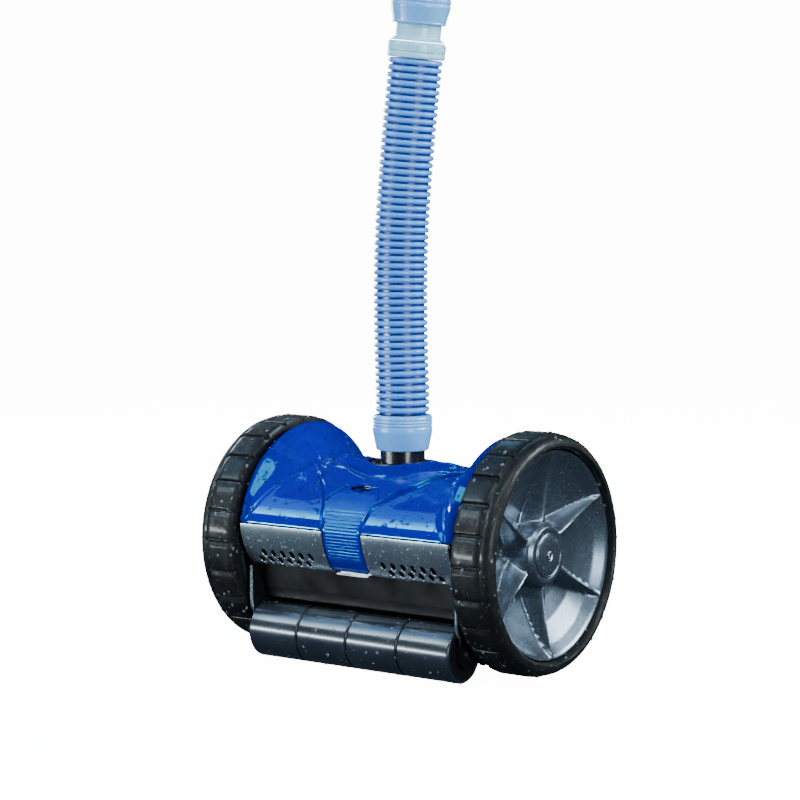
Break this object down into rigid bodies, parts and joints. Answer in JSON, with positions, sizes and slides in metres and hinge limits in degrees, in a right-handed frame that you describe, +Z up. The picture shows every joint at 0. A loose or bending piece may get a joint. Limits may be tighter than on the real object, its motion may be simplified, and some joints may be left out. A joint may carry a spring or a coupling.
{
  "type": "pool cleaner",
  "caption": "Suction pool cleaner: spool-shaped body with a hinged cover and latch, driven star wheels, front roller sleeves, rear skirt and a corrugated hose on a swivel tube.",
  "frame": {"origin": "on the floor, midway between the wheels, under the axle line", "axes": "+X to the right-hand wheel along the axle, -Y to the roller side, +Z up"},
  "size_m": [0.301, 0.2, 0.575],
  "materials": {
    "cover_blue": "high-gloss cobalt blue",
    "panel_grey": "metallic grey paint",
    "housing_black": "satin black",
    "tube_black": "gloss black",
    "tyre": "wet black rubber",
    "seal_rubber": "soft black rubber",
    "wheel_slate": "satin slate grey",
    "roller_grey": "satin grey sleeve",
    "gear_white": "natural acetal",
    "steel": "stainless",
    "hose_blue": "light blue translucent",
    "hose_pale": "pale blue translucent"
  },
  "bodies": {
    "chassis": {"lower_housing": "housing_black", "vent_panel_right": "panel_grey", "vent_panel_left": "panel_grey", "latch_catch": "steel", "turbine_housing": "housing_black", "turbine_bearing_right": "gear_white", "turbine_bearing_left": "gear_white", "housing_screw_1": "steel", "housing_screw_2": "steel", "housing_screw_3": "steel", "housing_screw_4": "steel", "tube_seal": "seal_rubber", "gear_case_right": "housing_black", "gear_case_left": "housing_black", "stub_axle_right": "steel", "stub_axle_left": "steel", "roller_axle": "steel", "hinge_pin": "steel"},
    "cover": {"top_cover": "cover_blue", "tube_collar": "housing_black", "latch_pin": "steel", "latch_spring": "steel"},
    "latch": {"latch": "cover_blue"},
    "rear_flap": {"rear_skirt": "seal_rubber"},
    "turbine": {"turbine_rotor": "gear_white", "turbine_shaft": "steel"},
    "wheel_right": {"tyre_right": "tyre", "wheel_disc_right": "wheel_slate", "wheel_gear_right": "gear_white", "hub_cap_right": "wheel_slate", "hub_screw_right": "steel", "wheel_bush_right": "gear_white"},
    "pinion_right": {"pinion_right": "gear_white", "drive_gear_right": "gear_white"},
    "wheel_left": {"tyre_left": "tyre", "wheel_disc_left": "wheel_slate", "wheel_gear_left": "gear_white", "hub_cap_left": "wheel_slate", "hub_screw_left": "steel", "wheel_bush_left": "gear_white"},
    "pinion_left": {"pinion_left": "gear_white", "drive_gear_left": "gear_white"},
    "roller_1": {"roller_sleeve_1": "roller_grey"},
    "roller_2": {"roller_sleeve_2": "roller_grey"},
    "roller_3": {"roller_sleeve_3": "roller_grey"},
    "roller_4": {"roller_sleeve_4": "roller_grey"},
    "swivel": {"swivel_tube": "tube_black", "hose_cuff": "hose_blue", "hose_tube": "hose_blue", "hose_collar": "hose_pale", "hose_neck": "hose_pale", "coupling_cuff": "hose_blue"}
  },
  "joints": [
    {"name": "cover_hinge", "type": "hinge", "parent": "chassis", "child": "cover", "pos_m": [0, 0.0935, 0.116], "axis": [-1, 0, 0], "range_deg": [0, 75]},
    {"name": "latch_hinge", "type": "hinge", "parent": "cover", "child": "latch", "pos_m": [0, -0.0665, 0.1446], "axis": [-1, 0, 0], "range_deg": [0, 10], "stiffness_Nm_per_rad": 0.05, "springref_deg": -22.92},
    {"name": "skirt_hinge", "type": "hinge", "parent": "chassis", "child": "rear_flap", "pos_m": [0, 0.085, 0.046], "axis": [1, 0, 0], "range_deg": [0, 40]},
    {"name": "turbine_spin", "type": "hinge", "parent": "chassis", "child": "turbine", "pos_m": [0, -0.008, 0.072], "axis": [1, 0, 0], "continuous": true},
    {"name": "wheel_right_spin", "type": "hinge", "parent": "chassis", "child": "wheel_right", "pos_m": [0, 0, 0.1], "axis": [1, 0, 0], "continuous": true},
    {"name": "pinion_right_spin", "type": "hinge", "parent": "chassis", "child": "pinion_right", "pos_m": [0, 0.04, 0.1], "axis": [1, 0, 0], "continuous": true},
    {"name": "wheel_left_spin", "type": "hinge", "parent": "chassis", "child": "wheel_left", "pos_m": [0, 0, 0.1], "axis": [1, 0, 0], "continuous": true},
    {"name": "pinion_left_spin", "type": "hinge", "parent": "chassis", "child": "pinion_left", "pos_m": [0, 0.04, 0.1], "axis": [1, 0, 0], "continuous": true},
    {"name": "roller_1_spin", "type": "hinge", "parent": "chassis", "child": "roller_1", "pos_m": [0, -0.0644, 0.0235], "axis": [1, 0, 0], "continuous": true},
    {"name": "roller_2_spin", "type": "hinge", "parent": "chassis", "child": "roller_2", "pos_m": [0, -0.0644, 0.0235], "axis": [1, 0, 0], "continuous": true},
    {"name": "roller_3_spin", "type": "hinge", "parent": "chassis", "child": "roller_3", "pos_m": [0, -0.0644, 0.0235], "axis": [1, 0, 0], "continuous": true},
    {"name": "roller_4_spin", "type": "hinge", "parent": "chassis", "child": "roller_4", "pos_m": [0, -0.0644, 0.0235], "axis": [1, 0, 0], "continuous": true},
    {"name": "hose_swivel", "type": "hinge", "parent": "cover", "child": "swivel", "pos_m": [0, -0.008, 0.16], "axis": [0, 0, 1], "continuous": true}
  ],
  "couplings": [
    {"joint": "pinion_right_spin", "follows": "wheel_right_spin", "ratio": 3},
    {"joint": "pinion_left_spin", "follows": "wheel_left_spin", "ratio": 3}
  ]
}
